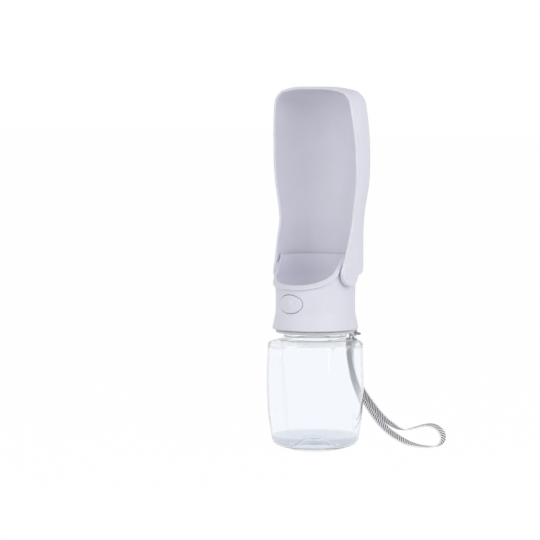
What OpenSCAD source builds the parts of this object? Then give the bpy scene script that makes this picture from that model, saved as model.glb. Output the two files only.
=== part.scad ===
// Travel water bottle for dogs, in millimetres.
// The origin is at the centre of the base, +Z is up, and the button and the folded trough face -Y.

/* [Bottle] */
// Largest outer radius of the bottle
bottle_r = 35.6; // [33:0.1:37]
// Height of the widest place
belly_z = 50; // [44:1:56]
// Height of the outer corner of the shoulder
shoulder_z = 79.2; // [74:0.2:82]
// How much narrower than the belly the shoulder is
shoulder_in = 1; // [0.5:0.1:2]
// Thickness of the blown wall
bottle_wall = 1.0; // [0.7:0.1:1.4]
// Radius of the ring that the bottle stands on
stand_r = 16.5; // [13:0.5:19]
// Height of the dome pushed up into the base
push_up = 7; // [4:0.5:10]

/* [Neck] */
// Outer radius of the neck
neck_r = 21.6; // [20.5:0.1:22.5]
// Inner radius of the neck
mouth_r = 19.6; // [17.5:0.1:20]
// Height of the plain lip above the thread
lip_plain = 0.8; // [0.5:0.1:1.2]
// How far the thread stands out of the neck
thread_depth = 1.1; // [0.8:0.1:1.3]
// Pitch of the thread
pitch = 3; // [2.4:0.1:3.2]
// Turns of the thread
thread_turns = 1; // [0.8:0.1:1.2]
// Radial clearance between the neck thread and the cap thread
thread_gap = 0.4; // [0.3:0.05:0.6]

/* [Strap ring] */
// Outer radius of the ring
ring_r = 28.9; // [27.5:0.1:30]
// Height of the ring's outer face
ring_face = 2.1; // [1.8:0.1:2.6]
// Radial clearance between the ring and the neck thread
ring_gap = 0.35; // [0.2:0.05:0.6]
// Direction of the eyelet, measured from +X
lug_angle = 70; // [55:1:90]
// How far the eyelet stands out of the ring
lug_reach = 6.2; // [4.6:0.1:6.6]
// Thickness of the eyelet
lug_t = 2.6; // [2:0.1:3.4]
// Radius of the eyelet's hole
lug_hole_r = 1.5; // [1.2:0.1:1.8]

/* [Strap] */
// Width of the webbing
strap_w = 6; // [4:0.5:6.5]
// Thickness of the webbing
strap_t = 1.2; // [0.8:0.1:1.4]
// Diameter of the thin cord
cord_d = 1.2; // [0.8:0.1:1.4]

/* [Head] */
// Outer radius at the bottom rim
head_base_r = 31.4; // [29.7:0.1:31.8]
// Outer radius at the waist
waist_r = 28.9; // [28:0.1:29.4]
// Outer radius at the top rim
head_top_r = 30; // [29.2:0.1:30.2]
// Wall of the head
head_wall = 2; // [1.6:0.1:2.2]
// Height of the waist above the bottom rim
waist_h = 14; // [10:0.5:15]
// Height of the button's centre above the bottom rim
button_h = 19.5; // [19:0.1:21]
// Height of the basin's front lip above the button's centre
lip_h = 12; // [11.4:0.1:13]
// Height of the hinge above the basin's front lip
hinge_h = 9.5; // [9:0.1:11]
// Height of the basin's back rim above the hinge
rim_h = 11.8; // [9:0.1:12.4]
// Radius of the scoop that cuts the basin open
scoop_r = 32; // [30:0.5:34]
// How far in front of the axis the scoop's centre is
scoop_y = 35; // [34:0.5:38]
// Outer radius of the lip along the scooped edge
lip_r = 30.8; // [30.3:0.1:31.2]
// Width of the lip
lip_w = 2; // [1.5:0.1:2.5]

/* [Basin] */
// Inner radius at the bottom
bowl_r = 24.4; // [23:0.1:25.5]
// Wall at the top
basin_wall = 1.6; // [1.5:0.1:2]
// Thickness of the floor
floor_t = 1.4; // [1:0.1:1.6]
// Thickness of the gasket under it
gasket_t = 0.6; // [0.4:0.1:0.8]
// Width of the gasket
gasket_w = 1.8; // [1.2:0.1:2.2]

/* [Button] */
// Width of the button
button_w = 20.4; // [18:0.2:22]
// Height of the button
button_z = 13.4; // [11:0.2:14.2]
// Gap round the button
button_gap = 0.3; // [0.2:0.05:0.5]
// How far the button stands out of the head
button_proud = 0.6; // [0.2:0.1:1]
// Width and height of the raised oval on the button
button_pad = [4.4, 6.2];
// How far the raised oval stands out of the button
button_pad_h = 0.5; // [0.3:0.1:0.8]
// Travel of the button
travel = 3; // [2:0.1:3.4]

/* [Valve] */
// Outer radius of the barrel
barrel_r = 6; // [5.8:0.1:6.2]
// Radius of the stem
stem_r = 2; // [1.7:0.1:2.2]
// Radius of the hole in the seat
seat_r = 3; // [2.7:0.1:3.2]
// Radius of the rear chamber
chamber_r = 4.9; // [4.7:0.1:5]
// Thickness of the poppet washer
poppet_t = 1.8; // [1.2:0.1:2.2]
// Radius of the bore to the basin
outlet_r = 2.3; // [1.8:0.1:2.6]
// Radius of the bore from the bottle
inlet_r = 2.6; // [2:0.1:2.8]
// Radius of the spring's wire
wire_r = 0.35; // [0.25:0.05:0.45]
// Turns of the spring
spring_turns = 6; // [4:1:8]

/* [Trough] */
// Wall of the trough
trough_wall = 2; // [1.6:0.1:2.2]
// Gap between the folded trough and the head
throat_gap = 2.9; // [2.6:0.1:3.6]
// Gap between the folded trough and the bottle's belly
belly_gap = 2.1; // [1.8:0.1:3.2]
// Gap between the folded trough's end wall and the base
under_gap = 3.7; // [3.6:0.1:4.6]
// Radius of the ears
ear_r = 8.4; // [8:0.1:8.6]
// Thickness of the ears
ear_t = 4.1; // [3.6:0.1:4.6]
// Clearance between each ear and the head
ear_gap = 0.3; // [0.2:0.05:0.5]
// Radius of the stub pins
pin_r = 3.4; // [3:0.1:3.6]
// Running clearance round the stub pins
pin_fit = 0.05; // [0.03:0.01:0.08]
// How far the rim runs forward at the tip
tip_forward = 4; // [0:0.5:6]

/* [Hidden] */
$fn = 96;
arc_step = 9;
eps = 0.01;
far = 400;
seat_gap = 0.1;
fit = 0.05;

head_color = "#dddde7";
inner_color = "#c9c9d3";
seal_color = "#e9e6e0";
ring_color = "#b9b8be";
clear_color = "#e6eef4";
metal_color = "#b6b8bc";

// Heights up the neck
ledge_z = shoulder_z + 1;
ledge_r = neck_r + 5.7;
ledge_step = 0.8;
bead_foot = 1;
bead_r = neck_r + 1.6;
bead_z = ledge_z + 3.7;
stop_r = neck_r + 0.8;
stop_z = bead_z + 1.7;
thread_root = neck_r - 0.6;
thread_crest = thread_root + thread_depth;
root_w = pitch * 0.44;
crest_w = pitch * 0.22;

// Heights of the strap ring
ring_bore = thread_crest + ring_gap;
ring_z = stop_z + 0.3;
ring_top = ring_z + ring_face;
lug_out = ring_r + lug_reach;
lug_eye = lug_out - lug_hole_r - 1;
lug_bottom = ring_z - 4.9;
lug_eye_z = ring_z - 1.9;

// Heights up the head
head_z = ring_top + 0.3;
button_c = head_z + button_h;
lip_z = button_c + lip_h;
hinge_z = lip_z + hinge_h;
rim_z = hinge_z + rim_h;
waist_z = head_z + waist_h;
cavity_r = waist_r - head_wall;
basin_r = head_top_r - basin_wall;
floor_z = button_c + button_z / 2 + button_gap + 0.9 + gasket_t;
ledge_in = 2.6;
ledge_t = 1.3;
outlet_y = -3;
inlet_y = 7;

// The cap that screws on the neck, whose ridge runs half a pitch under the neck's
collar_z = head_z + 0.5;
cap_thread_z = collar_z + root_w / 2 + 0.1;
thread_z = cap_thread_z + pitch / 2;
thread_zone = thread_z - root_w / 2 - 0.8;
neck_top = thread_z + pitch * thread_turns + root_w / 2 + lip_plain;
seal_t = 1.2;
disc_z = neck_top + seal_t + 2 * seat_gap;
disc_t = 2;
disc_top = disc_z + disc_t;
disc_r = cavity_r - 0.3;
collar_bore = thread_crest + thread_gap;
collar_t = 2.4;
collar_r = collar_bore + collar_t;
key_w = 3;
key_angles = [30, 150, 270];
snap_t = 0.9;

// Along the valve, from the front to the back
button_front = waist_r + button_proud;
cap_flange = 1.3;
cap_flange_t = 1.2;
cap_flange_h = 9;
guide_t = 1.2;
pocket_r = 4.6;
pocket_d = 4.2;
barrel_front = 14;
gland_r = 4;
gland_d = 5;
web_t = 1.5;
front_chamber_r = 4.6;
seat_y = 3;
seat_t = 1.5;
barrel_back = 14.6;
stem_tail = 4;
tail_gap = 0.8;
plug_front = seat_y + stem_tail + travel + tail_gap;
flange_t = 1.2;
press_room = 3;
cap_back = barrel_front + flange_t + travel + press_room;
cap_pocket = cap_back + pocket_d;
collar_back = cap_back + cap_flange_t + 0.3;
stub_r = 1.4;
clip_t = 0.8;
ring_section = 0.9;
plug_section = 0.75;
foot_x = 9.5;
foot_ys = [-6, 11];
foot_z = disc_top + 3;
foot_t = 2;
foot_half = 2.8;
boss_r = 2.6;
screw_r = 1.2;
screw_head_r = 2.2;
screw_head_t = 1.6;
spring_r = 3.6;
spring_front = cap_pocket - wire_r - 0.05;
spring_back = barrel_front + flange_t + wire_r + 0.05;
vent_y = -12;
vent_flap_r = 5;
vent_stem_r = 1.2;
vent_hole_r = 0.8;

// Places on the hinge
recess_x = head_top_r - 0.4;
ear_in = recess_x + ear_gap;
ear_out = ear_in + ear_t;
recess_r = ear_r + 0.4;
pin_out = ear_in + ear_t * 0.6;
peg_r = 0.8;
peg_at = 5.8;
peg_h = 1.1;
peg_gap = 0.3;

// Outline of the trough, from its heel up to the tip
throat_r = head_top_r + throat_gap + trough_wall;
belly_r = bottle_r + belly_gap + trough_wall + 0.05;
tip_z = 2 * hinge_z + under_gap + trough_wall;
throat_z = 2 * hinge_z - shoulder_z - 11;
trough_belly_z = throat_z + 28.6;
heel_slope = 17;
heel_drop = 4.7;
rim_y = -1.5;
rim_back = 0.3;

// How the routes of the strap lean, as the direction that the width is measured from
lean_from = [0.643, -0.766, 0];
crimp_at = [2.7, 38.2];
crimp_z = 72;
crimp_h = 7;
crimp_size = [7.4, 4.8];

// The webbing leaves the crimp, makes its loop on the ground and comes back behind itself.
// Each point has its lean in degrees.
webbing_route = [
    [2.7, 37.2, 71.95, -50],
    [3, 37.4, 64, -50],
    [5, 37.8, 56, -50],
    [9, 37.4, 48, -50],
    [15, 36.6, 40.5, -52],
    [22, 36.5, 33, -54],
    [28.5, 37.5, 26, -54],
    [34, 39.3, 20.7, -50],
    [39.5, 41.3, 17, -40],
    [44, 43.5, 14.6, -22],
    [49, 46.3, 13.7, -6],
    [54.5, 49.7, 15.3, 0],
    [60, 53, 17, 6],
    [65, 56, 17, 20],
    [69.3, 58.5, 14.3, 38],
    [71.3, 60, 10, 48],
    [70.5, 60.5, 5.4, 36],
    [66.5, 59.8, 1.9, 12],
    [60, 57, 0.8, 0],
    [52.5, 53.5, 1.5, -12],
    [45.8, 50.2, 3.5, -30],
    [39, 47.4, 7, -40],
    [32.7, 45, 11.4, -46],
    [27, 43.4, 16.6, -50],
    [21.8, 42, 22.8, -54],
    [16.5, 41, 30, -62],
    [11, 40.2, 38, -76],
    [6.5, 39.8, 47, -96],
    [3.5, 39.6, 56, -116],
    [2.7, 39.3, 64, -130],
    [2.7, 39.2, 71.95, -130]
];

// The thin cord goes from the crimp through the eyelet and back.
cord_route = [
    [1.2, 38.2, 79],
    [1.2, 38.2, 80.9],
    [2, 37.2, 83.2],
    [4.8, 34.4, 84.3],
    [8.3, 31.7, 84],
    [11.15, 30.6, 84],
    [13.5, 29.85, 84],
    [15, 31.1, 83.7],
    [14.6, 33.6, 83.1],
    [12.3, 36.1, 82.4],
    [8.8, 37.9, 82.1],
    [5.2, 38.2, 81.2],
    [4.2, 38.2, 79]
];

// Outlines: each point is [x, y, radius of its round]
function unit(v) = v / norm(v);
function xy(p) = [p.x, p.y];
function turned(v, a) = [v.x * cos(a) - v.y * sin(a), v.x * sin(a) + v.y * cos(a)];
function turn_at(a, b, c) =
    let (u = unit(b - a), v = unit(c - b)) atan2(u.x * v.y - u.y * v.x, u * v);
function left_of(a, b) = let (u = unit(b - a)) [-u.y, u.x];
function corner(a, b, c, r) =
    let (
        turn = turn_at(a, b, c),
        start = b - unit(b - a) * r * tan(abs(turn) / 2),
        centre = start + left_of(a, b) * r * sign(turn),
        steps = max(1, ceil(abs(turn) / arc_step))
    )
    r < eps || abs(turn) < 0.2
        ? [b]
        : [for (i = [0 : steps]) centre + turned(start - centre, turn * i / steps)];
function rounded(path) = [
    for (i = [0 : len(path) - 1])
        each i == 0 || i == len(path) - 1
            ? [xy(path[i])]
            : corner(xy(path[i - 1]), xy(path[i]), xy(path[i + 1]), path[i][2])
];
function closed(path) = [
    for (i = [0 : len(path) - 1])
        each corner(
            xy(path[(i + len(path) - 1) % len(path)]), xy(path[i]), xy(path[(i + 1) % len(path)]), path[i][2]
        )
];
// The same outline moved to its left by t, with its rounds kept concentric
function inset(path, t) = [
    for (i = [0 : len(path) - 1])
        let (
            n = len(path) - 1,
            before = i == 0 ? left_of(xy(path[0]), xy(path[1])) : left_of(xy(path[i - 1]), xy(path[i])),
            after = i == n ? before : left_of(xy(path[i]), xy(path[i + 1])),
            side = before.x * after.y - before.y * after.x > 0 ? -1 : 1,
            p = xy(path[i]) + t * (before + after) / (1 + before * after)
        )
        [p.x, p.y, max(0, path[i][2] + side * t)]
];
function back_to_front(list) = [for (i = [len(list) - 1 : -1 : 0]) list[i]];

// Tubes: each ring is a closed loop of points
function tube_faces(rings, sides) = concat(
    [for (j = [1 : sides - 2]) [0, j + 1, j]],
    [
        for (i = [0 : rings - 2], j = [0 : sides - 1])
            let (
                a = i * sides + j,
                b = i * sides + (j + 1) % sides,
                c = a + sides,
                d = b + sides
            )
            each [[a, b, d], [a, d, c]]
    ],
    let (last = (rings - 1) * sides) [for (j = [1 : sides - 2]) [last, last + j, last + j + 1]]
);
module tube(rings) {
    sides = len(rings[0]);
    polyhedron(points = [for (r = rings) each r], faces = tube_faces(len(rings), sides), convexity = 10);
}
function place(p) = [p.x, p.y, p.z];
function going(route, i) =
    unit(place(route[min(i + 1, len(route) - 1)]) - place(route[max(i - 1, 0)]));
function square_to(v, t) = unit(v - t * (v * t));
// The direction of a flat cord's width, and of its thickness
function width_at(route, i) =
    let (t = going(route, i), d = square_to(lean_from, t), p = cross(t, d), a = route[i][3])
    d * cos(a) + p * sin(a);
function flat_ring(route, i, w, h) =
    let (
        wide = width_at(route, i),
        thick = cross(going(route, i), wide),
        c = place(route[i]),
        x = [w / 2, w / 2 - h / 3, -w / 2 + h / 3, -w / 2, -w / 2, -w / 2 + h / 3, w / 2 - h / 3, w / 2],
        y = [h / 5, h / 2, h / 2, h / 5, -h / 5, -h / 2, -h / 2, -h / 5]
    )
    [for (k = [0 : 7]) c + wide * x[k] + thick * y[k]];
function round_ring(route, i, r, sides) =
    let (
        t = going(route, i),
        a = square_to(abs(t.z) > 0.9 ? [1, 0, 0] : [0, 0, 1], t),
        b = cross(t, a)
    )
    [for (k = [0 : sides - 1]) place(route[i]) + r * (a * cos(k * 360 / sides) + b * sin(k * 360 / sides))];
// A ridge that climbs round the axis, from radius foot to radius top
module ridge(foot, top, z) {
    steps = 48;
    count = round(thread_turns * steps);
    section = foot < top
        ? [[foot, -root_w / 2], [top, -crest_w / 2], [top, crest_w / 2], [foot, root_w / 2]]
        : [[foot, root_w / 2], [top, crest_w / 2], [top, -crest_w / 2], [foot, -root_w / 2]];
    tube([
        for (i = [0 : count])
            let (a = i * 360 / steps)
            [for (s = section) [s.x * cos(a), s.x * sin(a), z + s.y + pitch * i / steps]]
    ]);
}

module along_x(x) {
    translate([x, 0, hinge_z]) rotate([0, 90, 0]) children();
}
// A rod or hole along Y, from one distance behind the axis to another
module along_y(y0, y1, r) {
    translate([0, y0, button_c]) rotate([-90, 0, 0]) cylinder(h = y1 - y0, r = r);
}
module ring_shape(inner, outer, z, h) {
    translate([0, 0, z]) difference() {
        cylinder(h = h, r = outer);
        translate([0, 0, -1]) cylinder(h = h + 2, r = inner);
    }
}
module o_ring(middle, section) {
    rotate([90, 0, 0]) rotate_extrude() translate([middle, 0]) circle(r = section, $fn = 32);
}

// Bottle
function body_path() = [
    [0, push_up, 0],
    [stand_r * 0.5, push_up, 12],
    [stand_r - 1.2, 0, 1.2],
    [stand_r + 1.2, 0, 4],
    [bottle_r - 4.4, 4.2, 7],
    [bottle_r - 1.3, 24, 60],
    [bottle_r + 0.1, belly_z, 200],
    [bottle_r - shoulder_in, shoulder_z, 3.4],
    [ledge_r, ledge_z, 0.6]
];
function neck_path() = [
    [ledge_r - 0.5, ledge_z + ledge_step, 0.4],
    [bead_r, ledge_z + ledge_step + bead_foot, 0.4],
    [bead_r, bead_z, 0.4],
    [stop_r, bead_z + 0.1, 0.2],
    [stop_r, stop_z, 0.3],
    [neck_r, stop_z + 0.1, 0.2],
    [neck_r, thread_zone - 0.6, 0],
    [thread_root, thread_zone, 0],
    [thread_root, neck_top, 0.6],
    [mouth_r, neck_top, 0]
];
function bottle_inside() = [
    for (i = [0 : 7]) inset(body_path(), bottle_wall)[i],
    [mouth_r, ledge_z - bottle_wall, 2],
    [mouth_r, neck_top, 0]
];
module bottle() {
    color(clear_color, 0.35) {
        rotate_extrude(convexity = 8)
            polygon(concat(
                rounded(concat(body_path(), neck_path())),
                back_to_front(rounded(bottle_inside()))
            ));
        ridge(thread_root - 0.3, thread_crest, thread_z);
    }
}

// Strap ring, strap and crimp
module strap_ring() {
    color(ring_color) difference() {
        union() {
            rotate_extrude()
                polygon(closed([
                    [ring_bore, ring_z, 0.2],
                    [ring_r, ring_z, 0.5],
                    [ring_r, ring_top, 0.5],
                    [ring_bore, ring_top, 0.2]
                ]));
            rotate([0, 0, lug_angle])
                translate([0, lug_t / 2, 0])
                rotate([90, 0, 0])
                linear_extrude(height = lug_t)
                polygon(closed([
                    [ring_r - 2.5, ring_top - 0.8, 0],
                    [ring_r - 2.5, ring_z + 0.6, 0],
                    [lug_eye - 2, lug_bottom, 1.2],
                    [lug_out, lug_bottom, 2],
                    [lug_out, ring_top - 0.8, 2]
                ]));
        }
        rotate([0, 0, lug_angle])
            translate([lug_eye, 5, lug_eye_z])
            rotate([90, 0, 0])
            cylinder(h = 10, r = lug_hole_r);
    }
}
module strap_cord() {
    color("#8f9096")
        tube([for (i = [0 : len(cord_route) - 1]) round_ring(cord_route, i, cord_d / 2, 8)]);
}
module strap_crimp() {
    color("#8a8a92")
        translate([crimp_at.x, crimp_at.y, crimp_z])
        linear_extrude(height = crimp_h)
        polygon(closed([
            for (c = [[-1, -1], [1, -1], [1, 1], [-1, 1]])
                [c.x * crimp_size.x / 2, c.y * crimp_size.y / 2, 1.2]
        ]));
}
module strap_webbing() {
    color("#b2b3b5")
        tube([for (i = [0 : len(webbing_route) - 1]) flat_ring(webbing_route, i, strap_w, strap_t)]);
}

// Cap that screws on the neck, with its seals
module neck_seal() {
    color(seal_color)
        ring_shape(mouth_r + 0.1, thread_root + 0.3, neck_top + seat_gap, seal_t);
}
module key_slots(width, inner) {
    for (a = key_angles)
        rotate([0, 0, a]) translate([inner, -width / 2, disc_z - 1]) cube([10, width, disc_t + 2]);
}
module inner_cap() {
    color(inner_color) {
        difference() {
            union() {
                ring_shape(collar_bore, collar_r, collar_z, disc_z - collar_z + eps);
                difference() {
                    translate([0, 0, disc_z]) cylinder(h = disc_t, r = disc_r);
                    key_slots(key_w + 0.3, collar_r + 0.1);
                }
                for (x = [-foot_x, foot_x], y = foot_ys)
                    translate([x, y, disc_top - eps]) cylinder(h = foot_z - disc_top + eps, r = boss_r);
            }
            translate([0, inlet_y, disc_z - 1]) cylinder(h = disc_t + 2, r = inlet_r);
            translate([0, vent_y, disc_z - 1]) cylinder(h = disc_t + 2, r = vent_stem_r + fit);
            for (a = [45 : 90 : 315])
                translate([3 * cos(a), vent_y + 3 * sin(a), disc_z - 1])
                    cylinder(h = disc_t + 2, r = vent_hole_r);
            for (x = [-foot_x, foot_x], y = foot_ys)
                translate([x, y, disc_top + 0.4]) cylinder(h = far, r = screw_r);
        }
        ridge(collar_bore + 0.3, thread_root + thread_gap, cap_thread_z);
    }
}
module vent_valve() {
    color(seal_color)
        translate([0, vent_y, 0])
        rotate_extrude()
        polygon([
            [0, disc_z - 1.3],
            [vent_flap_r - 1, disc_z - 1],
            [vent_flap_r, disc_z - 0.4],
            [vent_flap_r, disc_z - fit],
            [vent_stem_r, disc_z - fit],
            [vent_stem_r, disc_top + fit],
            [vent_stem_r + 0.7, disc_top + fit],
            [vent_stem_r * 0.6, disc_top + 2],
            [0, disc_top + 2]
        ]);
}
module inlet_seal() {
    color(seal_color)
        translate([0, inlet_y, 0]) ring_shape(inlet_r + 0.2, inlet_r + 1.8, disc_top + fit, 0.7);
}

// Valve
module valve_body() {
    color(inner_color) difference() {
        union() {
            along_y(-barrel_front, barrel_back, barrel_r);
            translate([0, outlet_y, button_c]) cylinder(h = floor_z - 0.8 - button_c, r = outlet_r + 1.6);
            translate([0, inlet_y, disc_top + 0.8]) cylinder(h = button_c - disc_top - 0.8, r = inlet_r + 1.6);
            for (y = foot_ys)
                translate([-foot_x - foot_half, y - foot_half, foot_z + fit])
                    cube([2 * (foot_x + foot_half), 2 * foot_half, foot_t]);
        }
        along_y(-barrel_front - 1, -barrel_front + gland_d, gland_r);
        along_y(-barrel_front, seat_y, stem_r + 0.1);
        along_y(-barrel_front + gland_d + web_t, seat_y - seat_t, front_chamber_r);
        along_y(0, seat_y + 1, seat_r);
        along_y(seat_y, barrel_back + 1, chamber_r);
        translate([0, outlet_y, button_c]) cylinder(h = far, r = outlet_r);
        translate([0, inlet_y, 0]) cylinder(h = button_c, r = inlet_r);
        for (x = [-foot_x, foot_x], y = foot_ys)
            translate([x, y, foot_z - 1]) cylinder(h = foot_t + 4, r = screw_r + 0.15);
    }
}
module valve_screws() {
    color(metal_color)
        for (x = [-foot_x, foot_x], y = foot_ys)
            translate([x, y, 0]) difference() {
                union() {
                    translate([0, 0, disc_top + 0.8])
                        cylinder(h = foot_z + foot_t - disc_top, r = screw_r - fit);
                    translate([0, 0, foot_z + foot_t + 2 * fit]) cylinder(h = screw_head_t, r = screw_head_r);
                }
                translate([0, 0, foot_z + foot_t + screw_head_t - 0.6])
                    for (a = [0, 90])
                        rotate([0, 0, a]) translate([-1.4, -0.3, 0]) cube([2.8, 0.6, 2]);
            }
}
module gland_retainer() {
    color(inner_color) difference() {
        union() {
            along_y(-barrel_front - flange_t, -barrel_front - fit, barrel_r - 0.5);
            along_y(-barrel_front - fit - eps, -barrel_front + gland_d - 2 * ring_section - 2 * fit, gland_r - fit);
        }
        along_y(-far, 0, stem_r + 0.1);
    }
}
module stem_seal() {
    color("#3b3d42")
        translate([0, -barrel_front + gland_d - ring_section - fit, button_c])
        o_ring(stem_r + fit + ring_section, ring_section);
}
module end_cap() {
    color(inner_color) difference() {
        union() {
            along_y(plug_front, barrel_back + fit + eps, chamber_r - fit);
            along_y(barrel_back + fit, barrel_back + fit + 1.8, barrel_r);
        }
        difference() {
            along_y(plug_front + 1.2, plug_front + 1.2 + 2 * plug_section + 0.1, barrel_r);
            along_y(plug_front, barrel_back, chamber_r - 2 * plug_section - fit);
        }
    }
}
module end_cap_seal() {
    color("#3b3d42")
        translate([0, plug_front + 1.2 + plug_section + fit, button_c])
        o_ring(chamber_r - plug_section - 0.02, plug_section);
}
module outlet_seal() {
    color(seal_color)
        translate([0, outlet_y, 0])
        ring_shape(outlet_r + 0.2, outlet_r + 1.8, floor_z - 0.75, 0.7);
}

// Button, stem, poppet and spring
function oval(w, h) = [for (i = [0 : 59]) [w / 2 * cos(i * 6), h / 2 * sin(i * 6)]];
module oval_prism(w, h, y0, y1) {
    translate([0, y1, button_c]) rotate([90, 0, 0]) linear_extrude(height = y1 - y0) polygon(oval(w, h));
}
module button_cap() {
    color(head_color) difference() {
        union() {
            intersection() {
                oval_prism(button_w, button_z, -far / 4, -cap_back);
                cylinder(h = far, r = button_front);
            }
            intersection() {
                oval_prism(
                    button_w + 2 * cap_flange, button_z + 2 * cap_flange, -cap_back - cap_flange_t, -cap_back
                );
                translate([-far / 2, -far / 2, button_c - cap_flange_h / 2]) cube([far, far, cap_flange_h]);
            }
            intersection() {
                oval_prism(button_pad.x, button_pad.y, -far / 4, -cap_back);
                cylinder(h = far, r = button_front + button_pad_h);
            }
        }
        along_y(-cap_pocket, 0, pocket_r);
        along_y(-cap_pocket - 1.4, 0, stem_r + fit);
    }
}
module valve_stem() {
    color(inner_color) {
        along_y(-cap_pocket - 1.3, seat_y + fit, stem_r);
        along_y(seat_y, seat_y + stem_tail, stub_r);
    }
}
module poppet_seal() {
    color(seal_color) difference() {
        along_y(seat_y + 2 * fit, seat_y + 2 * fit + poppet_t, chamber_r - 0.9);
        along_y(0, barrel_back, stub_r + fit);
    }
}
module poppet_clip() {
    color(metal_color) difference() {
        along_y(seat_y + 3 * fit + poppet_t, seat_y + 3 * fit + poppet_t + clip_t, stub_r + 1.5);
        along_y(0, barrel_back, stub_r + fit);
        translate([-0.9, 0, button_c + 0.2]) cube([1.8, barrel_back, 6]);
    }
}
module valve_spring() {
    steps = 14;
    count = spring_turns * steps;
    route = [
        for (i = [0 : count])
            let (a = i * 360 / steps)
            [
                spring_r * cos(a),
                -spring_front + (spring_front - spring_back) * i / count,
                button_c + spring_r * sin(a)
            ]
    ];
    color(metal_color)
        tube([
            for (i = [0 : count])
                let (
                    t = going(route, i),
                    a = square_to([0, 1, 0], t),
                    b = cross(t, a)
                )
                [for (k = [0 : 5]) route[i] + wire_r * (a * cos(k * 60) + b * sin(k * 60))]
        ]);
}

// Head
function shell_path() = [
    [head_base_r - 0.7, head_z, 0],
    [head_base_r, head_z + 0.8, 0.4],
    [waist_r + 0.1, waist_z - 2, 16],
    [waist_r - 0.05, waist_z + 9, 80],
    [head_top_r, rim_z, 0.9],
    [basin_r, rim_z, 0.6],
    [basin_r - 0.2, floor_z + 6.5, 8],
    [bowl_r, floor_z + floor_t + 0.5, 1.5],
    [bowl_r, floor_z + 1, 0]
];
module shell_hollow() {
    rotate_extrude()
        polygon([
            [0, head_z - 1],
            [head_base_r - head_wall - 0.1, head_z - 1],
            [head_base_r - head_wall - 0.1, head_z + 2],
            [cavity_r, disc_z - 3],
            [cavity_r, disc_z - snap_t - fit],
            [cavity_r - 0.7, disc_z - snap_t + 0.3],
            [cavity_r - 0.7, disc_z - 0.3],
            [cavity_r, disc_z - fit],
            [cavity_r, disc_top + fit],
            [cavity_r - 1.4, disc_top + fit],
            [cavity_r - 1.4, disc_top + 1],
            [cavity_r, disc_top + 2.4],
            [cavity_r, floor_z - gasket_t - ledge_t - 3.6],
            [bowl_r - ledge_in, floor_z - gasket_t - ledge_t],
            [bowl_r - ledge_in, floor_z - gasket_t],
            [bowl_r, floor_z - gasket_t],
            [bowl_r, floor_z + 2],
            [0, floor_z + 2]
        ]);
}
// The cylinder that scoops the basin open, or a larger one on its axis
module scoop(r) {
    translate([0, -scoop_y, lip_z + scoop_r]) rotate([0, 90, 0])
        cylinder(h = far, r = r, center = true);
}
module basin_lip() {
    intersection() {
        rotate_extrude()
            polygon(rounded([
                [waist_r, lip_z - 6, 0],
                [lip_r, lip_z - 6, 0],
                [lip_r, rim_z, 0.9],
                [basin_r + 0.6, rim_z, 0]
            ]));
        scoop(scoop_r + lip_w);
    }
}
module head_shell() {
    guide_w = button_w + 2 * button_gap;
    guide_z = button_z + 2 * button_gap;
    color(head_color) difference() {
        union() {
            difference() {
                union() {
                    rotate_extrude()
                        polygon(concat([[0, head_z]], rounded(shell_path()), [[0, floor_z + 1]]));
                    basin_lip();
                }
                shell_hollow();
                translate([0, 0, button_c]) intersection() {
                    translate([-guide_w / 2 - 1.4, -far, disc_top + 0.2 - button_c])
                        cube([guide_w + 2.8, far, floor_z - gasket_t - disc_top - 0.2]);
                    translate([0, 0, -far / 2]) cylinder(h = far, r = cavity_r);
                }
                scoop(scoop_r);
                for (s = [-1, 1])
                    along_x(s > 0 ? recess_x : -far - recess_x) cylinder(h = far, r = recess_r);
            }
            intersection() {
                oval_prism(guide_w + 2 * guide_t, guide_z + 2 * guide_t, -far / 4, -collar_back);
                cylinder(h = far, r = waist_r - 0.6);
                translate([-far / 2, -far, disc_top + 0.2])
                    cube([far, far, floor_z - gasket_t - disc_top - 0.2]);
            }
            intersection() {
                key_slots(key_w, disc_r - 1);
                translate([0, 0, disc_z]) cylinder(h = disc_t + 0.5, r = waist_r - 0.5);
            }
            for (s = [-1, 1])
                along_x(s > 0 ? recess_x - 0.8 : -pin_out)
                    cylinder(h = pin_out - recess_x + 0.8, r = pin_r);
            for (s = [-1, 1])
                along_x(s > 0 ? recess_x - 0.6 : -recess_x - peg_h)
                    translate([-peg_at, 0, 0]) cylinder(h = peg_h + 0.6, r = peg_r);
        }
        oval_prism(guide_w, guide_z, -far / 4, -10);
    }
}
module basin_floor() {
    rim = 1.4;
    color(head_color) difference() {
        rotate_extrude()
            polygon(closed([
                [0, floor_z, 0],
                [bowl_r - 0.1, floor_z, 0.3],
                [bowl_r - 0.1, floor_z + floor_t + 0.8, 0.2],
                [bowl_r - 0.5, floor_z + floor_t + 0.8, 0.2],
                [bowl_r - rim - 1, floor_z + floor_t - 0.1, 3],
                [0, floor_z + floor_t - 0.4, 0]
            ]));
        translate([0, outlet_y, floor_z - 1]) cylinder(h = floor_t + 4, r = outlet_r);
    }
}
module basin_gasket() {
    color(seal_color)
        ring_shape(bowl_r - 0.2 - gasket_w, bowl_r - 0.2, floor_z - gasket_t + fit, gasket_t - 2 * fit);
}

// Trough
function trough_path() = [
    [throat_r, hinge_z - 40, 0],
    [throat_r, throat_z, 130],
    [belly_r, trough_belly_z, 130],
    [belly_r, tip_z - 32, 250],
    [belly_r - 3.6, tip_z - 9, 12],
    [belly_r - 8.8, tip_z - 3.2, 10],
    [18, tip_z, 60],
    [0, tip_z, 0]
];
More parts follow.
